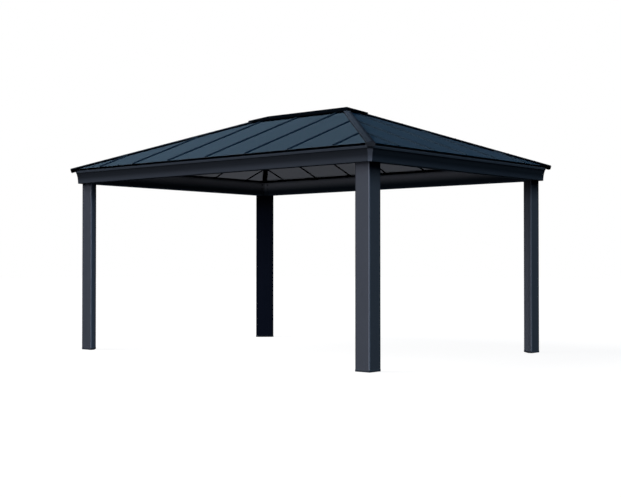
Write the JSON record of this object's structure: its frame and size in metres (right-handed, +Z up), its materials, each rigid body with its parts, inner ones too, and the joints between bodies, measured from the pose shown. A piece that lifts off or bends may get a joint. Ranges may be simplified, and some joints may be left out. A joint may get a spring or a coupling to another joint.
{
  "type": "gazebo",
  "caption": "Open rectangular garden gazebo with five-sided corner posts, beams with built-in gutters and a hipped roof of standing-seam metal panels under a raised ridge cap.",
  "frame": {"origin": "on the ground at the centre of the plan", "axes": "+X along the long side, +Z up, front towards -Y"},
  "size_m": [4.948, 3.676, 3.0205],
  "materials": {
    "posts": "satin powder coat",
    "feet": "satin powder coat",
    "gutter_beams": "satin powder coat",
    "roof_sheet": "matt coil coating",
    "seam_caps": "satin powder coat",
    "hip_trim": "satin powder coat",
    "ridge_cap": "satin powder coat",
    "roof_frame": "satin powder coat"
  },
  "bodies": {
    "root": {"back_beam": "gutter_beams", "back_gutter": "gutter_beams", "back_rafters": "roof_frame", "back_roof_panels": "roof_sheet", "back_seam_caps": "seam_caps", "foot_back_left": "feet", "foot_back_right": "feet", "foot_front_left": "feet", "foot_front_right": "feet", "front_beam": "gutter_beams", "front_gutter": "gutter_beams", "front_rafters": "roof_frame", "front_roof_panels": "roof_sheet", "front_seam_caps": "seam_caps", "gutter_corner_back_left": "gutter_beams", "gutter_corner_back_right": "gutter_beams", "gutter_corner_front_left": "gutter_beams", "gutter_corner_front_right": "gutter_beams", "hip_cap_back_left": "hip_trim", "hip_cap_back_right": "hip_trim", "hip_cap_front_left": "hip_trim", "hip_cap_front_right": "hip_trim", "hip_rafter_back_left": "roof_frame", "hip_rafter_back_right": "roof_frame", "hip_rafter_front_left": "roof_frame", "hip_rafter_front_right": "roof_frame", "left_beam": "gutter_beams", "left_gutter": "gutter_beams", "left_rafters": "roof_frame", "left_roof_panels": "roof_sheet", "left_seam_caps": "seam_caps", "post_back_left": "posts", "post_back_right": "posts", "post_front_left": "posts", "post_front_right": "posts", "ridge_beam": "roof_frame", "ridge_cap": "ridge_cap", "ridge_hub_left": "roof_frame", "ridge_hub_right": "roof_frame", "right_beam": "gutter_beams", "right_gutter": "gutter_beams", "right_rafters": "roof_frame", "right_roof_panels": "roof_sheet", "right_seam_caps": "seam_caps"}
  },
  "joints": []
}
